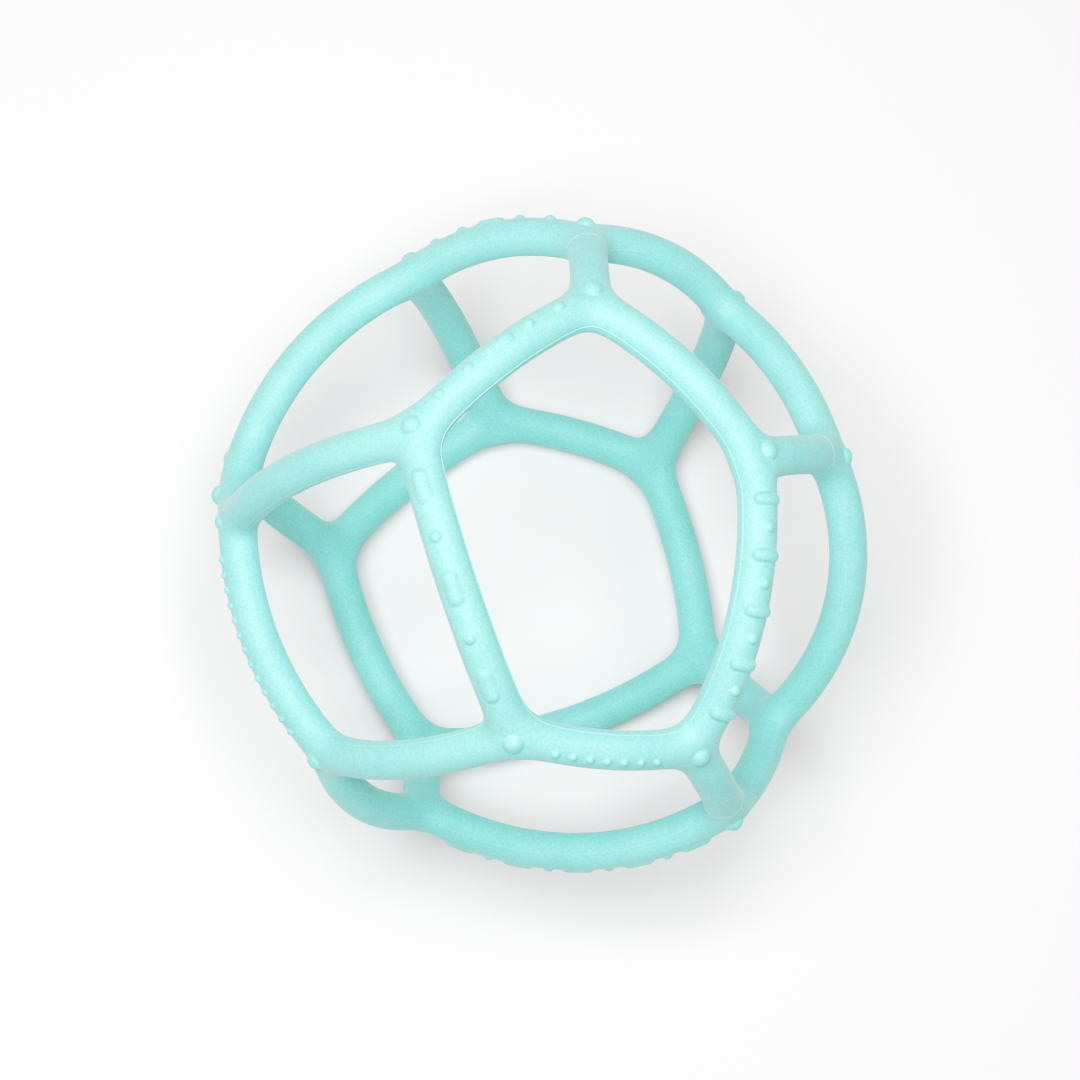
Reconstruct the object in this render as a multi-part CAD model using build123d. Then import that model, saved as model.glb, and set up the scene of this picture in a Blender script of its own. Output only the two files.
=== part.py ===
from build123d import *
import math
import os

# Open-lattice teething ball in one soft silicone moulding, millimetres, +Z up.
#
# Twenty three-way joints lie close to a sphere and thirty round bars curve between
# them. The joints form three rings: a top ring of five, a waist ring of ten and a
# base ring of five. Spokes tie the top and base rings to the waist. The ball rests
# on three bars of its base ring at Z = 0. Each joint and each bar is a solid of its
# own, and they meet face to face.

# Whole ball
CENTRE_AT = (0.39, 1.17, 43.68)  # ball centre over the middle of the footprint at Z = 0
BAR_RADIUS = 3.05
HUB_ARM = 6.5            # joint centre to the cut where a bar starts
SHORT_BAR_SHARE = 0.3    # the most of a short bar that each hub may take

# Rounding in the corners between two bars, largest first: a hub with short arms
# takes the largest that fits
CORNER_RADII = (4.0, 3.0, 2.0)

# Turns of the tubes' seam lines round the bars. A hub takes the first turn at
# which its arms join into one whole solid
SEAM_TURNS = (30.0, 75.0, 120.0, 165.0, 50.0, 100.0)
WHOLE_HUB_SHARE = 0.8    # a whole hub's volume over the sum of its arms'

# Joints as azimuth, elevation and reach from the ball's centre, in the order of
# azimuth round each ring
TOP_JOINTS = [
    (12.5, 50.0, 48.5),
    (79.0, 50.5, 48.5),
    (157.0, 62.0, 48.5),
    (260.5, 43.5, 48.5),
    (301.5, 30.5, 48.5),
]
WAIST_JOINTS = [
    (13.5, 23.5, 49.5),
    (51.5, 2.0, 49.0),
    (82.0, 26.0, 49.5),
    (115.0, -1.5, 48.5),
    (166.5, -1.5, 49.5),
    (178.0, 8.5, 49.0),
    (226.0, 8.0, 49.0),
    (246.5, -22.0, 49.5),
    (304.5, 2.5, 52.5),
    (324.5, -14.5, 49.5),
]
BASE_JOINTS = [
    (42.5, -52.5, 48.5),
    (101.5, -54.5, 48.5),
    (173.0, -46.0, 48.5),
    (239.0, -44.0, 48.5),
    (334.0, -47.5, 48.5),
]
RINGS = {"top": TOP_JOINTS, "waist": WAIST_JOINTS, "base": BASE_JOINTS}

# Waist joints that the spokes of the top and base rings run to
UPPER_SPOKE_FEET = [1, 3, 6, 7, 9]
LOWER_SPOKE_HEADS = [2, 4, 5, 8, 10]

# Bars whose middle leaves the great circle: sideways shift and extra reach
BAR_BOWS = {
    "top_bar_3": (1.0, 0.0),
    "upper_spoke_3": (0.0, -0.5),
    "upper_spoke_4": (0.0, -0.5),
    "waist_bar_1": (0.0, -1.0),
    "waist_bar_2": (0.0, 0.5),
    "waist_bar_6": (0.0, -0.5),
    "waist_bar_7": (0.0, 1.5),
    "waist_bar_8": (-1.0, 0.0),
    "waist_bar_10": (0.0, 0.5),
    "lower_spoke_2": (1.0, 0.0),
    "lower_spoke_3": (1.0, 0.0),
    "base_bar_1": (0.5, 0.0),
    "base_bar_3": (0.0, -0.5),
    "base_bar_5": (0.5, -0.5),
}

# Raised chew texture: each relief is (width, height) over the silicone round it
STUD = (3.2, 1.1)
DOT = (1.8, 0.55)
PIP = (1.3, 0.5)
DASH = (2.2, 0.5)
DASH_LENGTH = 5.4
RIDGE = (2.0, 0.65)
RIDGE_SPAN = 54.0        # degrees round the bar that a cross ridge covers

# Studs that lean away from straight out: change of azimuth and of elevation
STUD_LEANS = {
    "top_joint_1": (14, -15),
    "top_joint_2": (7, -5),
    "top_joint_3": (-44, 4),
    "top_joint_4": (0, 10),
    "top_joint_5": (0, 10),
    "waist_joint_1": (-20, -15),
    "waist_joint_2": (-10, -15),
    "waist_joint_3": (8, -11),
    "waist_joint_4": (-20, 10),
    "waist_joint_5": (-42, -10),
    "waist_joint_6": (10, 30),
    "waist_joint_7": (-10, 20),
    "waist_joint_8": (0, -25),
    "waist_joint_9": (-15, 15),
    "waist_joint_10": (0, -25),
}

# Rows of texture on a bar: what follows what, the step between them along the
# bar, the turn of the whole row round the bar and its shift along the bar
TEXTURE_ROWS = {
    "top_bar_2": ("dot dot dash dot dot", 5.6, 2.0, 0.0),
    "top_bar_3": ("dash dot dash dot dash", 7.5, 0.0, -0.7),
    "top_bar_4": ("pip pip pip pip pip pip pip", 2.6, -6.0, -0.7),
    "top_bar_5": ("ridge dot ridge dot ridge dot ridge dot ridge", 4.05, -9.0, 0.6),
    "waist_bar_3": ("dot dot dash dot dot", 5.6, 0.0, 0.0),
    "waist_bar_5": ("stud", 0.0, 8.0, 0.0),
    "waist_bar_6": ("pip pip pip pip pip pip pip pip pip pip pip pip pip", 2.35, -12.0, 0.0),
    "waist_bar_8": ("dash dot dash dot dash dot dash dot dash", 4.95, 4.0, 0.0),
}

CENTRE = Vector(*CENTRE_AT)


def direction(azimuth, elevation):
    """Unit vector from the ball's centre."""
    flat = math.cos(math.radians(elevation))
    return Vector(
        flat * math.cos(math.radians(azimuth)),
        flat * math.sin(math.radians(azimuth)),
        math.sin(math.radians(elevation)),
    )


def make_joints():
    """Joint name to its azimuth, elevation and reach."""
    joints = {}
    for ring, rows in RINGS.items():
        for number, row in enumerate(rows, start=1):
            joints[f"{ring}_joint_{number}"] = row
    return joints


def make_members():
    """Bar name to the names of the two joints that it runs between."""
    members = {}
    for ring, rows in RINGS.items():
        for number in range(1, len(rows) + 1):
            follower = number % len(rows) + 1
            ends = (f"{ring}_joint_{number}", f"{ring}_joint_{follower}")
            members[f"{ring}_bar_{number}"] = ends
    for number, foot in enumerate(UPPER_SPOKE_FEET, start=1):
        members[f"upper_spoke_{number}"] = (f"top_joint_{number}", f"waist_joint_{foot}")
    for number, head in enumerate(LOWER_SPOKE_HEADS, start=1):
        members[f"lower_spoke_{number}"] = (f"base_joint_{number}", f"waist_joint_{head}")
    return members


def centreline(name, start, end):
    """Circular arc of a bar, from joint centre to joint centre."""
    sideways, extra_reach = BAR_BOWS.get(name, (0.0, 0.0))
    a = start - CENTRE
    b = end - CENTRE
    outward = (a.normalized() + b.normalized()).normalized()
    across = a.cross(b).normalized()
    reach = (a.length + b.length) / 2 + extra_reach
    middle = (outward * reach + across * sideways).normalized() * reach
    return Edge.make_three_point_arc(start, CENTRE + middle, end)


def hub_share(path):
    """Part of a bar's length that the hub at each of its ends takes."""
    return min(HUB_ARM / path.length, SHORT_BAR_SHARE)


def turned(vector, axis, angle):
    """A vector turned about an axis through the origin."""
    return vector.rotate(Axis((0, 0, 0), axis), angle)


def tube(path, seam_turn=0.0):
    """Round silicone along a path, with its seam line turned off the ridge."""
    start = path @ 0
    along = path % 0
    out = turned((start - CENTRE).normalized(), along, seam_turn)
    return sweep(Plane(origin=start, x_dir=out, z_dir=along) * Circle(BAR_RADIUS), path=path)


def cap_radius(relief):
    """Radius of the ball whose cap has this width and height."""
    width, height = relief
    return ((width / 2) ** 2 + height ** 2) / (2 * height)


def dome(foot, out, relief):
    """Rounded bump whose cap stands out of a round bar with its axis at foot."""
    radius = cap_radius(relief)
    rise = BAR_RADIUS + relief[1] - radius
    return Plane(origin=foot + out * rise, z_dir=out) * Sphere(radius)


def dash(foot, out, along):
    """Long bump with round ends, lying along the bar."""
    radius = cap_radius(DASH)
    rise = BAR_RADIUS + DASH[1] - radius
    half = (DASH_LENGTH - DASH[0]) / 2
    outline = Polyline((half, 0), (half + radius, 0))
    outline += CenterArc((half, 0), radius, 0, 90)
    outline += Polyline((half, radius), (-half, radius))
    outline += CenterArc((-half, 0), radius, 90, 90)
    outline += Polyline((-half - radius, 0), (half, 0))
    capsule = revolve(make_face(outline.edges()), Axis.X, 360)
    return Plane(origin=foot + out * rise, x_dir=along, z_dir=out) * capsule


def ridge(foot, out, along):
    """Bump that runs round part of the bar."""
    radius = cap_radius(RIDGE)
    rise = BAR_RADIUS + RIDGE[1] - radius
    first = turned(out, along, -RIDGE_SPAN / 2)
    last = turned(out, along, RIDGE_SPAN / 2)
    path = Edge.make_three_point_arc(foot + first * rise, foot + out * rise, foot + last * rise)
    section = Plane(origin=path @ 0, x_dir=along, z_dir=path % 0) * Circle(radius)
    return sweep(section, path=path)


def texture(name, path):
    """Solids of the texture row on a bar."""
    words, step, turn, shift = TEXTURE_ROWS[name]
    kinds = words.split()
    solids = []
    for place, kind in enumerate(kinds):
        offset = (place - (len(kinds) - 1) / 2) * step + shift
        share = 0.5 + offset / path.length
        foot = path @ share
        along = path % share
        radial = foot - CENTRE
        out = (radial - along * radial.dot(along)).normalized()
        out = turned(out, along, turn)
        if kind == "dash":
            solids.append(dash(foot, out, along))
        elif kind == "ridge":
            solids.append(ridge(foot, out, along))
        else:
            relief = {"stud": STUD, "dot": DOT, "pip": PIP}[kind]
            solids.append(dome(foot, out, relief))
    return solids


def make_bar(name, path):
    """Bar between its two hub cuts, with any texture."""
    share = hub_share(path)
    span = path.trim(share, 1 - share)
    bar = tube(span)
    if name in TEXTURE_ROWS:
        cuts = [Plane(origin=span @ 0, z_dir=span % 0), Plane(origin=span @ 1, z_dir=-(span % 1))]
        for bump in texture(name, path):
            for cut in cuts:
                bump = split(bump, bisect_by=cut, keep=Keep.TOP)
            bar += bump
    return bar


def rounded(hub):
    """The hub with its corners rounded, or None if no radius fits."""
    corners = [edge for edge in hub.edges() if edge.geom_type != GeomType.CIRCLE]
    for radius in CORNER_RADII:
        try:
            smooth = fillet(corners, radius)
        except ValueError:
            continue
        if smooth.is_valid and len(smooth.solids()) == 1:
            return smooth
    return None


def blended_arms(middle, out, arms):
    """Three short arms in one solid, rounded into each other."""
    for seam_turn in SEAM_TURNS:
        tubes = [tube(arm, seam_turn) for arm in arms]
        enough = WHOLE_HUB_SHARE * sum(solid.volume for solid in tubes)
        hub = Plane(origin=middle, z_dir=out) * Sphere(BAR_RADIUS)
        for solid in tubes:
            hub += solid
        if len(hub.solids()) != 1 or hub.volume < enough:
            continue
        smooth = rounded(hub)
        if smooth is not None:
            return smooth
    raise ValueError("no seam turn gives a whole hub")


def make_hub(name, row, arms):
    """Blended arms with a stud on the outside."""
    azimuth, elevation, reach = row
    out = direction(azimuth, elevation)
    middle = CENTRE + out * reach
    hub = blended_arms(middle, out, arms)
    more_azimuth, more_elevation = STUD_LEANS.get(name, (0, 0))
    lean = direction(azimuth + more_azimuth, elevation + more_elevation)
    return hub + dome(middle, lean, STUD)


def main():
    os.makedirs("parts", exist_ok=True)
    joints = make_joints()
    centres = {}
    for name, (azimuth, elevation, reach) in joints.items():
        centres[name] = CENTRE + direction(azimuth, elevation) * reach
    arms = {name: [] for name in joints}
    nodes = {}
    for name, (first, last) in make_members().items():
        path = centreline(name, centres[first], centres[last])
        share = hub_share(path)
        arms[first].append(path.trim(0, share))
        arms[last].append(path.trim(1 - share, 1))
        nodes[name] = make_bar(name, path)
    for name, row in joints.items():
        nodes[name] = make_hub(name, row, arms[name])
    for name, shape in nodes.items():
        export_step(shape, f"parts/{name}.step")
    whole = Compound(children=[shape.solids()[0] for shape in nodes.values()])
    box = whole.bounding_box()
    print("low", box.min, "high", box.max, "size", box.size)


main()
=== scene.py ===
"""Looks of the open-lattice teething ball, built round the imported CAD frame.

The ball is one silicone moulding of twenty joints and thirty bars. Its surface is
worked out here as one smooth field, meshed, and divided at the CAD's own cut
planes into a mesh for each CAD node. Lengths are in millimetres until a mesh is
made, and Blender's objects are in metres.
"""

import math

import bmesh
import bpy
import numpy as np
from mathutils import Matrix, Vector


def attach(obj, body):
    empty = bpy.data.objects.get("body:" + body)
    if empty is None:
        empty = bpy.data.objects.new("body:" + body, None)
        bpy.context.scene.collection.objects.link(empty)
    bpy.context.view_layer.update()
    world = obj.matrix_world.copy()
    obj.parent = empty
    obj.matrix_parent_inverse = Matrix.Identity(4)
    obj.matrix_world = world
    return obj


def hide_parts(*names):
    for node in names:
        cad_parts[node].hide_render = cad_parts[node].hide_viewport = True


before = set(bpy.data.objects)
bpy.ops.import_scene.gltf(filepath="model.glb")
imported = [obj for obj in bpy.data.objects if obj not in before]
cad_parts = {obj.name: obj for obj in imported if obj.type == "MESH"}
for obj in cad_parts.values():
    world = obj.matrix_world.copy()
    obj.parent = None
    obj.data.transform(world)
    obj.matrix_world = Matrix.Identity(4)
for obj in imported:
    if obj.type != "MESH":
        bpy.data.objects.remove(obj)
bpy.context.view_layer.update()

MM = 0.001

# ---------------------------------------------------------------- the object's sizes
CENTRE = np.array((0.39, 1.17, 43.68))
BAR_RADIUS = 3.05
HUB_ARM = 6.5
SHORT_BAR_SHARE = 0.3

# Joints as azimuth, elevation and reach from the ball's centre
TOP_JOINTS = [
    (12.5, 50.0, 48.5),
    (79.0, 50.5, 48.5),
    (157.0, 62.0, 48.5),
    (260.5, 43.5, 48.5),
    (301.5, 30.5, 48.5),
]
WAIST_JOINTS = [
    (13.5, 23.5, 49.5),
    (51.5, 2.0, 49.0),
    (82.0, 26.0, 49.5),
    (115.0, -1.5, 48.5),
    (166.5, -1.5, 49.5),
    (178.0, 8.5, 49.0),
    (226.0, 8.0, 49.0),
    (246.5, -22.0, 49.5),
    (304.5, 2.5, 52.5),
    (324.5, -14.5, 49.5),
]
BASE_JOINTS = [
    (42.5, -52.5, 48.5),
    (101.5, -54.5, 48.5),
    (173.0, -46.0, 48.5),
    (239.0, -44.0, 48.5),
    (334.0, -47.5, 48.5),
]
RINGS = {"top": TOP_JOINTS, "waist": WAIST_JOINTS, "base": BASE_JOINTS}
UPPER_SPOKE_FEET = [1, 3, 6, 7, 9]
LOWER_SPOKE_HEADS = [2, 4, 5, 8, 10]

# Bars whose middle leaves the great circle: sideways shift and extra reach
BAR_BOWS = {
    "top_bar_3": (1.0, 0.0),
    "upper_spoke_3": (0.0, -0.5),
    "upper_spoke_4": (0.0, -0.5),
    "waist_bar_1": (0.0, -1.0),
    "waist_bar_2": (0.0, 0.5),
    "waist_bar_6": (0.0, -0.5),
    "waist_bar_7": (0.0, 1.5),
    "waist_bar_8": (-1.0, 0.0),
    "waist_bar_10": (0.0, 0.5),
    "lower_spoke_2": (1.0, 0.0),
    "lower_spoke_3": (1.0, 0.0),
    "base_bar_1": (0.5, 0.0),
    "base_bar_3": (0.0, -0.5),
    "base_bar_5": (0.5, -0.5),
}

# Raised chew texture: width and height of each relief over the silicone round it
STUD = (3.2, 1.1)
DOT = (1.8, 0.55)
PIP = (1.3, 0.5)
DASH = (2.2, 0.5)
DASH_LENGTH = 5.4
RIDGE = (2.0, 0.65)
RIDGE_SPAN = 54.0

# Studs that lean away from straight out: change of azimuth and of elevation
STUD_LEANS = {
    "top_joint_1": (14, -15),
    "top_joint_2": (7, -5),
    "top_joint_3": (-44, 4),
    "top_joint_4": (0, 10),
    "top_joint_5": (0, 10),
    "waist_joint_1": (-20, -15),
    "waist_joint_2": (-10, -15),
    "waist_joint_3": (8, -11),
    "waist_joint_4": (-20, 10),
    "waist_joint_5": (-42, -10),
    "waist_joint_6": (10, 30),
    "waist_joint_7": (-10, 20),
    "waist_joint_8": (0, -25),
    "waist_joint_9": (-15, 15),
    "waist_joint_10": (0, -25),
}
# Kinds along the bar, step, turn round the bar and shift along it
TEXTURE_ROWS = {
    "top_bar_2": ("dot dot dash dot dot", 5.6, 2.0, 0.0),
    "top_bar_3": ("dash dot dash dot dash", 7.5, 0.0, -0.7),
    "top_bar_4": ("pip pip pip pip pip pip pip", 2.6, -6.0, -0.7),
    "top_bar_5": ("ridge dot ridge dot ridge dot ridge dot ridge", 4.05, -9.0, 0.6),
    "waist_bar_3": ("dot dot dash dot dot", 5.6, 0.0, 0.0),
    "waist_bar_5": ("stud", 0.0, 8.0, 0.0),
    "waist_bar_6": ("pip pip pip pip pip pip pip pip pip pip pip pip pip", 2.35, -12.0, 0.0),
    "waist_bar_8": ("dash dot dash dot dash dot dash dot dash", 4.95, 4.0, 0.0),
}

# Looks of the surface
CORNER_BLEND = 1.0       # how softly two bars run into each other
RELIEF_BLEND = 0.2       # and a bump into its bar
GRID_STEP = 0.3
GRID_REACH = 56.0        # half the width of the cube that the field is worked out in
BAR_MARGIN = 9.0         # how far past a bar its part of the field is worked out
BUMP_MARGIN = 2.0        # and past a bump
NUDGE = 0.01             # step over which the field's slope is measured
FILL = -0.01             # field given to a grid corner that is filled in
EVENING = 0.6            # how far a point of the net moves towards its neighbours' middle
SKIN_REACH = 48.5        # about how far the bars lie from the ball's centre
FLASH_RADIUS = 0.09      # half the width of a mould line round the top window
UPPER_FLASH_RADIUS = 0.06  # round the windows next to it
LOWER_FLASH_RADIUS = 0.05  # and round the windows of the base ring
RIM_TILTS = (0.06, 1.2)  # range in which a window's rim is sought, in radians off its middle
RIM_TILT_STEP = 0.03
RIM_ROUNDS = 12          # halvings of that step
RING_LINES = [           # bar, and where along it a mould line runs round it
    ("upper_spoke_2", 0.79),
    ("upper_spoke_1", 0.79),
    ("waist_bar_5", 0.2),
    ("upper_spoke_5", 0.8),
]


def unit(vector):
    return vector / np.linalg.norm(vector)


def direction(azimuth, elevation):
    azimuth, elevation = math.radians(azimuth), math.radians(elevation)
    flat = math.cos(elevation)
    return np.array((flat * math.cos(azimuth), flat * math.sin(azimuth), math.sin(elevation)))


def square_to(out):
    """Two directions square to this one and to each other."""
    x = unit(np.cross(out, (0.3, 0.2, 1.0)))
    return x, np.cross(out, x)


def turned(vector, axis, degrees):
    """A vector turned about a unit axis through the origin."""
    c, s = math.cos(math.radians(degrees)), math.sin(math.radians(degrees))
    return vector * c + np.cross(axis, vector) * s + axis * (axis @ vector) * (1 - c)


class Arc:
    """Circular arc through three points, from the first to the last."""

    def __init__(self, start, middle, end):
        u, v = middle - start, end - start
        w = np.cross(u, v)
        self.centre = start + (np.cross(w, u) * (v @ v) + np.cross(v, w) * (u @ u)) / (2 * (w @ w))
        self.radius = np.linalg.norm(start - self.centre)
        self.x = unit(start - self.centre)
        self.normal = unit(w)
        self.y = np.cross(self.normal, self.x)
        last = end - self.centre
        self.span = math.atan2(last @ self.y, last @ self.x)
        self.length = self.radius * self.span
        self.offset = self.centre - CENTRE
        points = np.array([self.at(share) for share in np.linspace(0, 1, 9)])
        self.low = points.min(0) - BAR_RADIUS - BAR_MARGIN
        self.high = points.max(0) + BAR_RADIUS + BAR_MARGIN

    def at(self, share):
        a = self.span * share
        return self.centre + self.radius * (math.cos(a) * self.x + math.sin(a) * self.y)

    def along(self, share):
        a = self.span * share
        return math.cos(a) * self.y - math.sin(a) * self.x

    def angle(self, x, y):
        return np.clip(np.arctan2(y, x), 0, self.span)

    def split(self, x, y, square, reach):
        """Distance from the arc across the ball's skin and through it, for points
        given by x and y in the arc's plane, the square of the distance from the
        arc's centre, and the distance from the ball's centre."""
        angle = self.angle(x, y)
        c, s = np.cos(angle), np.sin(angle)
        gap = square + self.radius**2 - 2 * self.radius * (x * c + y * s)
        o = self.offset
        foot = o @ o + self.radius**2 + 2 * self.radius * ((o @ self.x) * c + (o @ self.y) * s)
        through = reach - np.sqrt(foot)
        across = np.sqrt(np.maximum(gap - through**2, 0))
        return across, through


# ---------------------------------------------------------------- joints and bars
JOINTS = {}
STUD_AXES = {}
for ring, rows in RINGS.items():
    for number, (azimuth, elevation, reach) in enumerate(rows, start=1):
        name = f"{ring}_joint_{number}"
        JOINTS[name] = CENTRE + direction(azimuth, elevation) * reach
        more = STUD_LEANS.get(name, (0, 0))
        STUD_AXES[name] = direction(azimuth + more[0], elevation + more[1])

MEMBERS = {}
for ring, rows in RINGS.items():
    for number in range(1, len(rows) + 1):
        follower = number % len(rows) + 1
        MEMBERS[f"{ring}_bar_{number}"] = (f"{ring}_joint_{number}", f"{ring}_joint_{follower}")
for number, foot in enumerate(UPPER_SPOKE_FEET, start=1):
    MEMBERS[f"upper_spoke_{number}"] = (f"top_joint_{number}", f"waist_joint_{foot}")
for number, head in enumerate(LOWER_SPOKE_HEADS, start=1):
    MEMBERS[f"lower_spoke_{number}"] = (f"base_joint_{number}", f"waist_joint_{head}")


def centreline(name):
    start, end = (JOINTS[joint] for joint in MEMBERS[name])
    sideways, extra_reach = BAR_BOWS.get(name, (0.0, 0.0))
    a, b = start - CENTRE, end - CENTRE
    outward = unit(unit(a) + unit(b))
    across = unit(np.cross(a, b))
    reach = (np.linalg.norm(a) + np.linalg.norm(b)) / 2 + extra_reach
    return Arc(start, CENTRE + unit(outward * reach + across * sideways) * reach, end)


ARCS = {name: centreline(name) for name in MEMBERS}
HUB_SHARES = {name: min(HUB_ARM / arc.length, SHORT_BAR_SHARE) for name, arc in ARCS.items()}


# ---------------------------------------------------------------- bumps
def cap_radius(relief):
    width, height = relief
    return ((width / 2) ** 2 + height**2) / (2 * height)


def lifted(relief):
    return BAR_RADIUS + relief[1] - cap_radius(relief)


def bump_list():
    """Each bump as its centreline's points and its radius. One point makes a ball."""
    bumps = []
    for name, middle in JOINTS.items():
        foot = middle + STUD_AXES[name] * lifted(STUD)
        bumps.append((np.array([foot]), cap_radius(STUD)))
    for name, (words, step, turn, shift) in TEXTURE_ROWS.items():
        arc = ARCS[name]
        kinds = words.split()
        for place, kind in enumerate(kinds):
            offset = (place - (len(kinds) - 1) / 2) * step + shift
            share = 0.5 + offset / arc.length
            foot, along = arc.at(share), arc.along(share)
            radial = foot - CENTRE
            out = turned(unit(radial - along * (radial @ along)), along, turn)
            if kind == "dash":
                half = along * (DASH_LENGTH - DASH[0]) / 2
                middle = foot + out * lifted(DASH)
                bumps.append((np.array([middle - half, middle + half]), cap_radius(DASH)))
            elif kind == "ridge":
                turns = np.linspace(-RIDGE_SPAN / 2, RIDGE_SPAN / 2, 9)
                line = [foot + turned(out, along, a) * lifted(RIDGE) for a in turns]
                bumps.append((np.array(line), cap_radius(RIDGE)))
            else:
                relief = {"stud": STUD, "dot": DOT, "pip": PIP}[kind]
                bumps.append((np.array([foot + out * lifted(relief)]), cap_radius(relief)))
    return bumps


BUMPS = bump_list()


def line_distance(points, line):
    """Distance from points to a line of straight runs."""
    if len(line) == 1:
        return np.linalg.norm(points - line[0], axis=-1)
    best = None
    for a, b in zip(line[:-1], line[1:]):
        run = b - a
        share = np.clip(((points - a) @ run) / (run @ run), 0, 1)
        gap = np.linalg.norm(points - a - share[..., None] * run, axis=-1)
        best = gap if best is None else np.minimum(best, gap)
    return best


def melted(a, b):
    """The nearer of two surfaces, run softly into each other."""
    overlap = np.maximum(RELIEF_BLEND - np.abs(a - b), 0) / RELIEF_BLEND
    return np.minimum(a, b) - overlap**2 * RELIEF_BLEND / 4


# ---------------------------------------------------------------- the surface's field
def from_sums(weight, weighted):
    """Distance to the blended bars, from the sums of all bars' weights."""
    near = weight > 0
    safe = np.where(near, weight, 1)
    across = np.maximum(-CORNER_BLEND * np.log(safe), 0)
    through = weighted / safe
    return np.where(near, np.sqrt(across**2 + through**2) - BAR_RADIUS, BAR_MARGIN)


def rows_within(points, low, high):
    x, y, z = points.T
    inside = (x > low[0]) & (x < high[0])
    inside &= (y > low[1]) & (y < high[1])
    inside &= (z > low[2]) & (z < high[2])
    return np.flatnonzero(inside)


def neighbours(points):
    """The bars and bumps that reach each point, as rows of points."""
    bars = [(arc, rows_within(points, arc.low, arc.high)) for arc in ARCS.values()]
    bumps = []
    for line, radius in BUMPS:
        margin = radius + BUMP_MARGIN
        rows = rows_within(points, line.min(0) - margin, line.max(0) + margin)
        bumps.append((line, radius, rows))
    return [bar for bar in bars if len(bar[1])], [bump for bump in bumps if len(bump[2])]


def skin(points, near=None):
    """Distance to the surface of the ball, and height over its middle skin."""
    bars, _ = near or neighbours(points)
    weight = np.zeros(len(points))
    weighted = np.zeros(len(points))
    from_ball = np.sqrt(((points - CENTRE) ** 2).sum(1))
    for arc, rows in bars:
        from_arc = points[rows] - arc.centre
        square = (from_arc**2).sum(1)
        across, through = arc.split(from_arc @ arc.x, from_arc @ arc.y, square, from_ball[rows])
        share = np.exp(-across / CORNER_BLEND)
        weight[rows] += share
        weighted[rows] += share * through
    safe = np.where(weight > 0, weight, 1)
    return from_sums(weight, weighted), weighted / safe


def surface(points, near=None):
    """Distance to the surface of the ball with its bumps."""
    near = near or neighbours(points)
    distance, _ = skin(points, near)
    for line, radius, rows in near[1]:
        bump = line_distance(points[rows], line) - radius
        distance[rows] = melted(distance[rows], bump)
    return distance


def gradient(points):
    """Which way the field rises at each point, and how steeply."""
    near = neighbours(points)
    parts = []
    for axis in np.eye(3) * NUDGE:
        rise = surface(points + axis, near) - surface(points - axis, near)
        parts.append(rise / (2 * NUDGE))
    return np.stack(parts, 1)


def on_surface(points, rounds, near):
    """Points moved onto the surface."""
    for _ in range(rounds):
        here = surface(points, near)
        slope = [(surface(points + axis, near) - here) / NUDGE for axis in np.eye(3) * NUDGE]
        slope = np.stack(slope, 1)
        size = np.maximum((slope**2).sum(1), 0.25)
        step = here[:, None] * slope / size[:, None]
        length = np.linalg.norm(step, axis=1, keepdims=True)
        points = points - step * np.minimum(1, GRID_STEP / np.maximum(length, 1e-9))
    return points


# ---------------------------------------------------------------- meshing the field
def grid_field():
    """The field on a regular grid, with the grid's low corner."""
    low = CENTRE - GRID_REACH
    count = int(2 * GRID_REACH / GRID_STEP) + 2
    lines = [low[axis] + GRID_STEP * np.arange(count) for axis in range(3)]
    weight = np.zeros((count,) * 3, np.float32)
    weighted = np.zeros((count,) * 3, np.float32)

    def block(box_low, box_high):
        first = np.maximum(((box_low - low) / GRID_STEP).astype(int), 0)
        last = np.minimum(((box_high - low) / GRID_STEP).astype(int) + 2, count)
        where = tuple(slice(a, b) for a, b in zip(first, last))
        axes = [lines[axis][where[axis]].astype(np.float32) for axis in range(3)]
        return where, np.meshgrid(*axes, indexing="ij", sparse=True)

    for arc in ARCS.values():
        where, (x, y, z) = block(arc.low, arc.high)
        px, py, pz = x - arc.centre[0], y - arc.centre[1], z - arc.centre[2]
        across, through = arc.split(
            px * arc.x[0] + py * arc.x[1] + pz * arc.x[2],
            px * arc.y[0] + py * arc.y[1] + pz * arc.y[2],
            px**2 + py**2 + pz**2,
            np.sqrt((x - CENTRE[0]) ** 2 + (y - CENTRE[1]) ** 2 + (z - CENTRE[2]) ** 2),
        )
        share = np.exp(-across / CORNER_BLEND)
        weight[where] += share
        weighted[where] += share * through
    field = from_sums(weight, weighted).astype(np.float32)
    for line, radius in BUMPS:
        where, axes = block(line.min(0) - radius - BUMP_MARGIN, line.max(0) + radius + BUMP_MARGIN)
        points = np.stack(np.broadcast_arrays(*axes), -1)
        field[where] = melted(field[where], line_distance(points, line) - radius)
    return field, low


def settled(field):
    """The field with a corner filled in wherever a grid square has its inside corners
    across from each other. Four faces of the net would otherwise share an edge there."""
    found = True
    while found:
        found = False
        for axis in range(3):
            view = np.moveaxis(field, axis, 0)
            inside = view < 0
            a, b = inside[:, :-1, :-1], inside[:, 1:, :-1]
            c, d = inside[:, :-1, 1:], inside[:, 1:, 1:]
            i, j, k = np.nonzero((a == d) & (b == c) & (a != b))
            found = found or len(i) > 0
            view[i, j + a[i, j, k], k] = FILL
    return field


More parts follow.
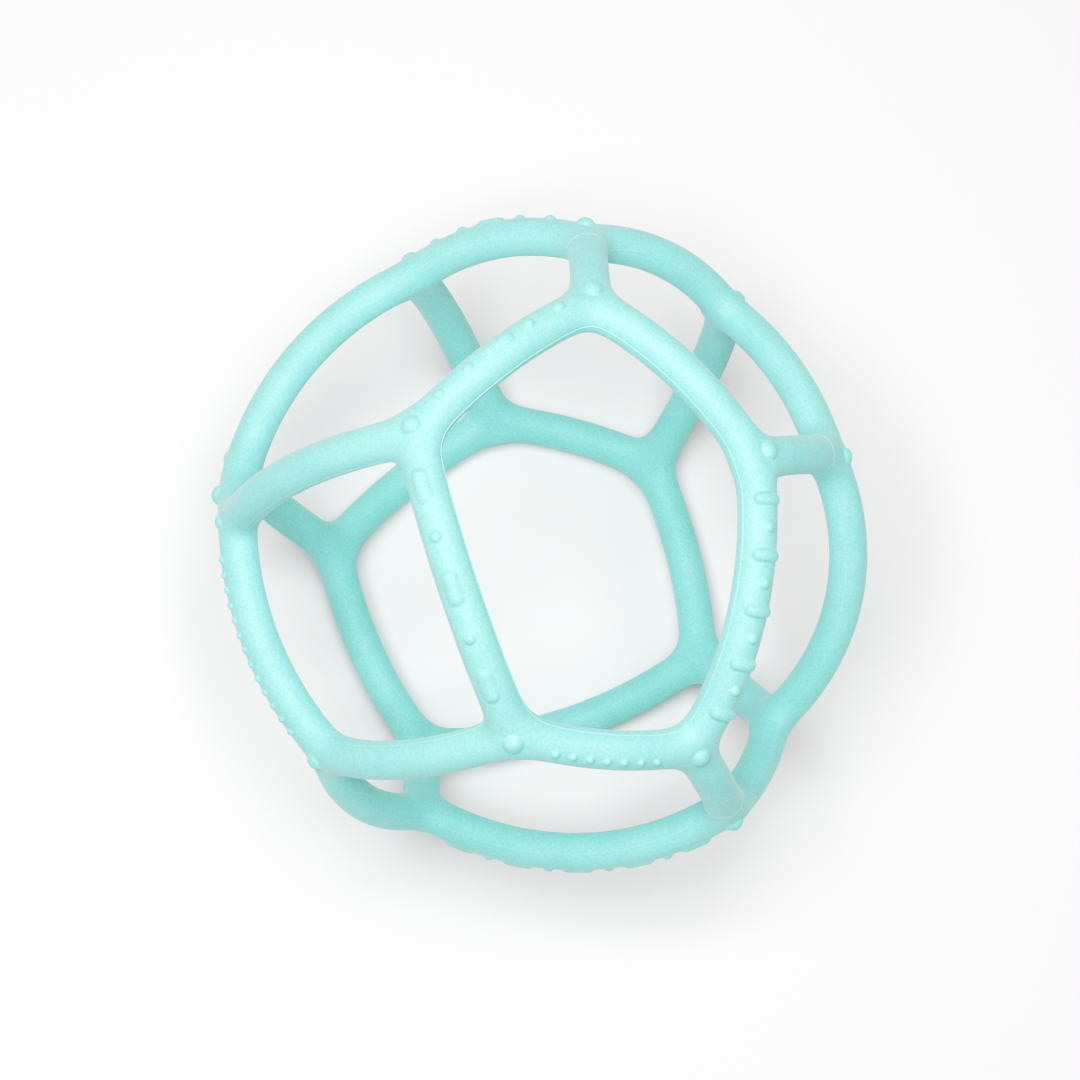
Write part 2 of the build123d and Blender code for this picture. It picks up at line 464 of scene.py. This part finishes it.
def net(field, low):
    """Quads that follow the field's zero surface: one point in each cell it crosses."""
    inside = field < 0
    cells = tuple(n - 1 for n in field.shape)
    corners = [(i, j, k) for i in (0, 1) for j in (0, 1) for k in (0, 1)]
    total = np.zeros(cells, np.uint8)
    for i, j, k in corners:
        total += inside[i : i + cells[0], j : j + cells[1], k : k + cells[2]]
    where = np.argwhere((total > 0) & (total < 8))
    values = np.stack([field[tuple((where + c).T)] for c in corners], 1).astype(float)
    places = np.array(corners, float)
    sums = np.zeros((len(where), 3))
    hits = np.zeros(len(where))
    for a in range(8):
        for b in range(a + 1, 8):
            if np.abs(places[a] - places[b]).sum() != 1:
                continue
            crossed = (values[:, a] < 0) != (values[:, b] < 0)
            share = values[crossed, a] / (values[crossed, a] - values[crossed, b])
            sums[crossed] += places[a] + share[:, None] * (places[b] - places[a])
            hits[crossed] += 1
    points = low + GRID_STEP * (where + sums / hits[:, None])
    number = np.full(cells, -1, np.int32)
    number[tuple(where.T)] = np.arange(len(where))
    quads = []
    for axis in range(3):
        one, two = (axis + 1) % 3, (axis + 2) % 3
        fore = np.take(inside, range(cells[axis]), axis)
        aft = np.take(inside, range(1, cells[axis] + 1), axis)
        for flip, crossing in ((False, fore & ~aft), (True, aft & ~fore)):
            edge = np.argwhere(crossing)
            ring = []
            for back_one, back_two in ((1, 1), (0, 1), (0, 0), (1, 0)):
                cell = edge.copy()
                cell[:, one] -= back_one
                cell[:, two] -= back_two
                ring.append(number[tuple(cell.T)])
            quad = np.stack(ring, 1)
            quads.append(quad[:, ::-1] if flip else quad)
    return points, np.concatenate(quads)


def evened(points, quads, rounds=3):
    """The net's points spread evenly over the surface."""
    edges = np.concatenate([quads[:, [0, 1]], quads[:, [1, 2]], quads[:, [2, 3]], quads[:, [3, 0]]])
    ends = np.concatenate([edges, edges[:, ::-1]])
    count = np.bincount(ends[:, 0], minlength=len(points))
    near = neighbours(points)
    for _ in range(rounds):
        middle = np.stack(
            [np.bincount(ends[:, 0], points[ends[:, 1], a], len(points)) for a in range(3)], 1
        )
        middle = middle / count[:, None]
        points = on_surface(points * (1 - EVENING) + middle * EVENING, 1, near)
    return on_surface(points, 2, near)


def nearest_bar(points):
    """For each point the number of its nearest bar and the share along that bar."""
    best = np.full(len(points), np.inf)
    bar = np.zeros(len(points), int)
    share = np.zeros(len(points))
    for number, arc in enumerate(ARCS.values()):
        from_arc = points - arc.centre
        x, y = from_arc @ arc.x, from_arc @ arc.y
        across, through = arc.split(
            x, y, (from_arc**2).sum(1), np.linalg.norm(points - CENTRE, axis=1)
        )
        gap = np.hypot(across, through)
        nearer = gap < best
        best[nearer] = gap[nearer]
        bar[nearer] = number
        share[nearer] = arc.angle(x, y)[nearer] / arc.span
    return bar, share


def divided(points, quads):
    """The net cut across each bar where the CAD's hub ends. Gives the points, and the
    faces of each node as lists of point numbers."""
    bars, _ = nearest_bar(points[quads].mean(1))
    points = [Vector(point) for point in points]
    groups = {}
    for number, (name, arc) in enumerate(ARCS.items()):
        own = quads[bars == number]
        bm = bmesh.new()
        corners = {i: bm.verts.new(points[i]) for i in np.unique(own)}
        number_of = {corner: i for i, corner in corners.items()}
        for quad in own:
            bm.faces.new([corners[i] for i in quad])
        ends = (HUB_SHARES[name], 1 - HUB_SHARES[name])
        for share in ends:
            bmesh.ops.bisect_plane(
                bm,
                geom=bm.verts[:] + bm.edges[:] + bm.faces[:],
                dist=1e-4,
                plane_co=Vector(arc.at(share)),
                plane_no=Vector(arc.along(share)),
            )
        for corner in bm.verts:
            if corner not in number_of:
                number_of[corner] = len(points)
                points.append(corner.co.copy())
        middles = np.array([face.calc_center_median() for face in bm.faces]) - arc.centre
        places = arc.angle(middles @ arc.x, middles @ arc.y) / arc.span
        first, last = MEMBERS[name]
        for face, place in zip(bm.faces, places):
            owner = first if place < ends[0] else last if place > ends[1] else name
            groups.setdefault(owner, []).append([number_of[corner] for corner in face.verts])
        bm.free()
    return np.array(points), groups


def closed(bm):
    """Faces over the mesh's open cuts, and their numbers."""
    rim = [edge for edge in bm.edges if edge.is_boundary]
    made = bmesh.ops.edgeloop_fill(bm, edges=rim)["faces"]
    bmesh.ops.recalc_face_normals(bm, faces=bm.faces)
    bm.faces.index_update()
    return {face.index for face in made}


def piece_mesh(name, points, normals, faces):
    """A closed mesh of these faces, shaded by the field's own normals."""
    used = np.unique(np.concatenate([np.array(f) for f in faces]))
    place = {old: new for new, old in enumerate(used)}
    bm = bmesh.new()
    corners = [bm.verts.new(Vector(points[i] * MM)) for i in used]
    for face in faces:
        bm.faces.new([corners[place[i]] for i in face])
    bm.verts.index_update()
    caps = closed(bm)
    mesh = bpy.data.meshes.new(name)
    bm.to_mesh(mesh)
    bm.free()
    mesh.polygons.foreach_set("use_smooth", [True] * len(mesh.polygons))
    shading = []
    for face in mesh.polygons:
        for i in face.vertices:
            shading.append(tuple(face.normal if face.index in caps else normals[used[i]]))
    mesh.normals_split_custom_set(shading)
    return mesh


def all_pieces():
    """Node name to its mesh."""
    field, low = grid_field()
    points, quads = net(settled(field), low)
    points, groups = divided(evened(points, quads), quads)
    slope = gradient(points)
    normals = slope / np.linalg.norm(slope, axis=1, keepdims=True)
    return {name: piece_mesh(name, points, normals, faces) for name, faces in groups.items()}


# ---------------------------------------------------------------- mould lines
def windows():
    """The rings of joints round the ball's windows."""
    around = {name: [] for name in JOINTS}
    for start, end in MEMBERS.values():
        around[start].append(end)
        around[end].append(start)
    for name, others in around.items():
        x, y = square_to(unit(JOINTS[name] - CENTRE))
        ways = {other: JOINTS[other] - JOINTS[name] for other in others}
        others.sort(key=lambda other: math.atan2(ways[other] @ y, ways[other] @ x))
    left = {(a, b) for a in around for b in around[a]}
    rings = []
    while left:
        first = step = min(left)
        ring = []
        while True:
            left.discard(step)
            ring.append(step[0])
            a, b = step
            others = around[b]
            step = (b, others[(others.index(a) + 1) % len(others)])
            if step == first:
                break
        rings.append(ring)
    return rings


def middle_skin(directions):
    """Points in these directions on the skin half way through the bars."""
    points = CENTRE + directions * SKIN_REACH
    for _ in range(3):
        _, height = skin(points)
        points = points - directions * height[:, None]
    return points


def window_rims(rings, count=320):
    """Closed lines round the windows, along the middle of their bars' sides."""
    turn = np.linspace(0, 2 * math.pi, count, endpoint=False)
    outs, sides = [], []
    for ring in rings:
        out = unit(sum(unit(JOINTS[name] - CENTRE) for name in ring))
        x, y = square_to(out)
        outs.append(np.repeat(out[None], count, 0))
        sides.append(np.outer(np.cos(turn), x) + np.outer(np.sin(turn), y))
    outs, sides = np.concatenate(outs), np.concatenate(sides)

    def looking(tilt):
        return np.cos(tilt)[:, None] * outs + np.sin(tilt)[:, None] * sides

    inner = np.zeros(len(outs))
    outer = np.zeros(len(outs))
    tilt, last_tilt = RIM_TILTS
    while (outer == 0).any() and tilt < last_tilt:
        distance, _ = skin(middle_skin(looking(np.full(len(outs), tilt))))
        hit = (distance < 0) & (outer == 0)
        outer[hit] = tilt
        inner[hit] = tilt - RIM_TILT_STEP
        tilt += RIM_TILT_STEP
    for _ in range(RIM_ROUNDS):
        half = (inner + outer) / 2
        distance, _ = skin(middle_skin(looking(half)))
        solid = distance < 0
        outer = np.where(solid, half, outer)
        inner = np.where(solid, inner, half)
    return middle_skin(looking(outer)).reshape(len(rings), count, 3)


def bar_ring(name, share, count=72):
    """Closed line round a bar."""
    arc = ARCS[name]
    at, along = arc.at(share), arc.along(share)
    x = unit(np.cross(along, at - CENTRE))
    y = np.cross(along, x)
    turn = np.linspace(0, 2 * math.pi, count, endpoint=False)
    sides = np.outer(np.cos(turn), x) + np.outer(np.sin(turn), y)
    reach = np.full(count, BAR_RADIUS)
    for _ in range(4):
        reach = reach - surface(at + sides * reach[:, None])
    return at + sides * reach[:, None]


def cord_mesh(name, line, radius, sides=8):
    """Thin closed tube along a closed line."""
    count = len(line)
    along = np.roll(line, -1, 0) - np.roll(line, 1, 0)
    along /= np.linalg.norm(along, axis=1, keepdims=True)
    out = gradient(line)
    out -= along * (out * along).sum(1)[:, None]
    out /= np.linalg.norm(out, axis=1, keepdims=True)
    across = np.cross(along, out)
    points = []
    for step in range(sides):
        a = 2 * math.pi * step / sides
        points.append(line + radius * (math.cos(a) * out + math.sin(a) * across))
    points = np.stack(points, 1).reshape(-1, 3) * MM
    faces = []
    for i in range(count):
        j = (i + 1) % count
        for k in range(sides):
            m = (k + 1) % sides
            faces.append((i * sides + k, j * sides + k, j * sides + m, i * sides + m))
    mesh = bpy.data.meshes.new(name)
    mesh.from_pydata(points.tolist(), [], faces)
    bm = bmesh.new()
    bm.from_mesh(mesh)
    bmesh.ops.recalc_face_normals(bm, faces=bm.faces)
    bm.to_mesh(mesh)
    bm.free()
    mesh.polygons.foreach_set("use_smooth", [True] * len(mesh.polygons))
    return mesh


# ---------------------------------------------------------------- materials
SILICONE = {
    "IOR": 1.41,
    "Specular IOR Level": 0.45,
    "Sheen Weight": 0.25,
    "Sheen Roughness": 0.5,
}


def node(tree, kind, **settings):
    """New node, with its sockets or its own settings given by name."""
    made = tree.nodes.new(kind)
    for key, value in settings.items():
        if key in made.inputs:
            made.inputs[key].default_value = value
        else:
            setattr(made, key, value)
    return made


def silicone(name, shade, deep):
    """Matte moulded silicone: a fine grain, faint mottling and a soft sheen."""
    material = bpy.data.materials.new(name)
    material.use_nodes = True
    tree = material.node_tree
    tree.nodes.clear()
    output = node(tree, "ShaderNodeOutputMaterial")
    skin_shader = node(tree, "ShaderNodeBsdfPrincipled", **SILICONE)
    place = node(tree, "ShaderNodeTexCoord")
    mottle = node(tree, "ShaderNodeTexNoise", Scale=160.0, Detail=3.0)
    grain = node(tree, "ShaderNodeTexNoise", Scale=2300.0, Detail=3.0, Roughness=0.7)
    both = node(tree, "ShaderNodeMix", data_type="FLOAT", Factor=0.75)
    ramp = node(tree, "ShaderNodeValToRGB")
    for stop, at, colour in zip(ramp.color_ramp.elements, (0.4, 0.6), (deep, shade)):
        stop.position = at
        stop.color = (*colour, 1)
    rough = node(tree, "ShaderNodeMapRange", **{"To Min": 0.5, "To Max": 0.62})
    bump = node(tree, "ShaderNodeBump", Strength=0.35, Distance=0.00008)
    link = tree.links.new
    link(place.outputs["Object"], mottle.inputs["Vector"])
    link(place.outputs["Object"], grain.inputs["Vector"])
    link(mottle.outputs["Fac"], both.inputs["A"])
    link(grain.outputs["Fac"], both.inputs["B"])
    link(both.outputs["Result"], ramp.inputs["Fac"])
    link(both.outputs["Result"], rough.inputs["Value"])
    link(grain.outputs["Fac"], bump.inputs["Height"])
    link(ramp.outputs["Color"], skin_shader.inputs["Base Color"])
    link(rough.outputs["Result"], skin_shader.inputs["Roughness"])
    link(bump.outputs["Normal"], skin_shader.inputs["Normal"])
    link(skin_shader.outputs["BSDF"], output.inputs["Surface"])
    return material


MINT = silicone("mint_silicone", (0.325, 0.745, 0.705), (0.27, 0.655, 0.615))
FLASH = silicone("mould_line_silicone", (0.41, 0.80, 0.765), (0.35, 0.74, 0.70))
FAINT_FLASH = silicone("mould_ring_silicone", (0.37, 0.77, 0.735), (0.31, 0.70, 0.66))

for name, mesh in all_pieces().items():
    piece = bpy.data.objects.new(f"skin_{name}", mesh)
    bpy.context.scene.collection.objects.link(piece)
    mesh.materials.append(MINT)
    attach(piece, "root")
    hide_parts(name)

LINES = []
RIMS = windows()
for number, (ring, line) in enumerate(zip(RIMS, window_rims(RIMS)), start=1):
    kinds = {joint.split("_")[0] for joint in ring}
    if "base" in kinds:
        look = (LOWER_FLASH_RADIUS, MINT)
    else:
        look = (UPPER_FLASH_RADIUS if "waist" in kinds else FLASH_RADIUS, FLASH)
    LINES.append((f"mould_line_{number}", line, look))
for number, place in enumerate(RING_LINES, start=1):
    LINES.append((f"mould_ring_{number}", bar_ring(*place), (UPPER_FLASH_RADIUS, FAINT_FLASH)))
for name, line, (radius, material) in LINES:
    mesh = cord_mesh(name, line, radius)
    mesh.materials.append(material)
    piece = bpy.data.objects.new(name, mesh)
    bpy.context.scene.collection.objects.link(piece)
    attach(piece, "root")


# ---------------------------------------------------------------- floor, light, camera
FLOOR_HALF = 3.0         # metres
FLOOR_COLOUR = (0.9, 0.875, 0.877, 1)
KEY = ((-0.06, -0.01, 0.6), 0.36, 4.2)  # place and width in metres, power in watts
STUDIO_LIGHT = 0.31
CAMERA_LENS = 109.8
CAMERA_SHIFT = (0.0007, 0.00093)
CAMERA_DISTANCE = 533.5  # millimetres from the ball's centre
CAMERA_BACK = (-0.05656, -0.15977, 0.98553)
CAMERA_UP = (-0.00455, 0.98714, 0.15977)


def make_floor():
    mesh = bpy.data.meshes.new("floor")
    h = FLOOR_HALF
    mesh.from_pydata([(-h, -h, 0), (h, -h, 0), (h, h, 0), (-h, h, 0)], [], [(0, 1, 2, 3)])
    floor = bpy.data.objects.new("floor", mesh)
    bpy.context.scene.collection.objects.link(floor)
    material = bpy.data.materials.new("white_paper")
    material.use_nodes = True
    shader = material.node_tree.nodes["Principled BSDF"]
    shader.inputs["Base Color"].default_value = FLOOR_COLOUR
    shader.inputs["Roughness"].default_value = 0.9
    shader.inputs["Specular IOR Level"].default_value = 0.1
    mesh.materials.append(material)


WHITE_LIGHT = 2.0        # the brightest light that the curves reach

# Scene light against the tone it is shown at
TONES = [
    (0.25, 0.245),
    (0.5, 0.5),
    (0.65, 0.655),
    (0.8, 0.77),
    (0.95, 0.865),
    (1.05, 0.925),
    (1.15, 0.975),
    (1.25, 1.0),
    (1.6, 1.0),
]

# Red light against the red it is shown at: pale where lit, deep in the shade
REDS = [
    (0.08, 0.067),
    (0.15, 0.128),
    (0.25, 0.224),
    (0.35, 0.341),
    (0.46, 0.487),
    (0.56, 0.596),
    (0.68, 0.698),
    (0.8, 0.803),
    (0.9, 0.9),
]


def softbox(name, place, size, power):
    """Square light that looks at the ball."""
    light = bpy.data.lights.new(name, "AREA")
    light.shape = "SQUARE"
    light.size = size
    light.energy = power
    lamp = bpy.data.objects.new(name, light)
    bpy.context.scene.collection.objects.link(lamp)
    look = Vector(CENTRE * MM) - Vector(place)
    lamp.location = place
    lamp.rotation_euler = look.to_track_quat("-Z", "Y").to_euler()


def make_camera():
    back = unit(np.array(CAMERA_BACK))
    up = np.array(CAMERA_UP)
    up = unit(up - back * (up @ back))
    right = np.cross(up, back)
    place = (CENTRE + back * CAMERA_DISTANCE) * MM
    camera = bpy.data.cameras.new("camera")
    camera.sensor_width = 36.0
    camera.lens = CAMERA_LENS
    camera.shift_x, camera.shift_y = CAMERA_SHIFT
    camera.clip_start = 0.01
    camera.clip_end = 20.0
    thing = bpy.data.objects.new("camera", camera)
    bpy.context.scene.collection.objects.link(thing)
    thing.matrix_world = Matrix(
        [
            [right[0], up[0], back[0], place[0]],
            [right[1], up[1], back[1], place[1]],
            [right[2], up[2], back[2], place[2]],
            [0, 0, 0, 1],
        ]
    )
    bpy.context.scene.camera = thing


def tone_curve():
    """Rolls bright tones off softly, so that the pale floor ends in white, and deepens
    red in the shade."""
    settings = bpy.context.scene.view_settings
    settings.view_transform = "Standard"
    settings.use_curve_mapping = True
    mapping = settings.curve_mapping
    mapping.white_level = (WHITE_LIGHT,) * 3
    curve = mapping.curves[3]
    for light, tone in TONES:
        curve.points.new(light / WHITE_LIGHT, tone)
    for light, red in REDS:
        mapping.curves[0].points.new(light / WHITE_LIGHT, red / WHITE_LIGHT)
    mapping.update()


make_floor()
softbox("key", *KEY)
make_camera()

world = bpy.data.worlds.new("studio")
world.use_nodes = True
world.node_tree.nodes["Background"].inputs["Color"].default_value = (1, 1, 1, 1)
world.node_tree.nodes["Background"].inputs["Strength"].default_value = STUDIO_LIGHT
bpy.context.scene.world = world
tone_curve()
